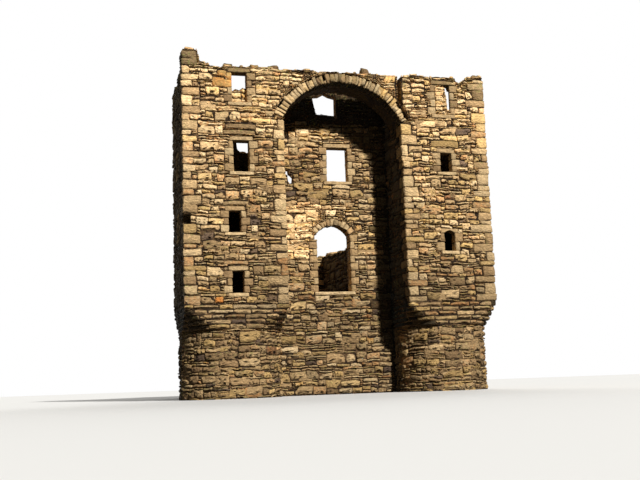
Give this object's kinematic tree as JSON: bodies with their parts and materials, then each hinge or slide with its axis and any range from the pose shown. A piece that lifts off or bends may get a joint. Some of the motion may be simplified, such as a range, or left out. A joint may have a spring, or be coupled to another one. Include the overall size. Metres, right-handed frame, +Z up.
{
  "type": "ruined castle keep",
  "caption": "Roofless stone keep: round towers corbelled out to square caps, a high arch between them, a recessed gable with windows and broken hall walls behind.",
  "frame": {"origin": "centre of the keep's plan box, on the ground", "axes": "+X along the front to the right, +Y from the front towards the end wall, +Z up"},
  "size_m": [12.36, 14.03, 13.28],
  "materials": {
    "rubble_walling": "coursed sandstone rubble in lime mortar, rough",
    "dressed_stone": "dressed sandstone, weathered",
    "core_rubble": "rubble arch core, rough and shaded",
    "flagstone": "stone flags, dusty"
  },
  "bodies": {
    "root": {"left_drum": "rubble_walling", "left_corbels": "dressed_stone", "left_front_wall": "rubble_walling", "left_outer_wall": "rubble_walling", "left_inner_wall": "rubble_walling", "left_back_wall": "rubble_walling", "left_floors": "flagstone", "left_lintels": "dressed_stone", "left_jambs": "dressed_stone", "left_sills": "dressed_stone", "left_blocking": "rubble_walling", "left_corner_stack": "rubble_walling", "right_drum": "rubble_walling", "right_corbels": "dressed_stone", "right_front_wall": "rubble_walling", "right_outer_wall": "rubble_walling", "right_inner_wall": "rubble_walling", "right_back_wall": "rubble_walling", "right_floors": "flagstone", "right_lintels": "dressed_stone", "right_jambs": "dressed_stone", "right_sills": "dressed_stone", "right_blocking": "rubble_walling", "right_corner_stack": "rubble_walling", "great_arch": "dressed_stone", "arch_barrel": "core_rubble", "left_spandrel": "rubble_walling", "right_spandrel": "rubble_walling", "gable_base": "rubble_walling", "gable_hall_stage": "rubble_walling", "gable_upper_stage": "rubble_walling", "hall_window_arch": "dressed_stone", "gable_lintels": "dressed_stone", "gable_jambs": "dressed_stone", "gable_sills": "dressed_stone", "north_wall": "rubble_walling", "south_wall": "rubble_walling", "side_lintels": "dressed_stone", "side_jambs": "dressed_stone", "side_sills": "dressed_stone", "end_wall_north": "rubble_walling", "end_wall_south": "rubble_walling", "end_wall_middle": "rubble_walling", "cellar_vault": "flagstone"}
  },
  "joints": []
}
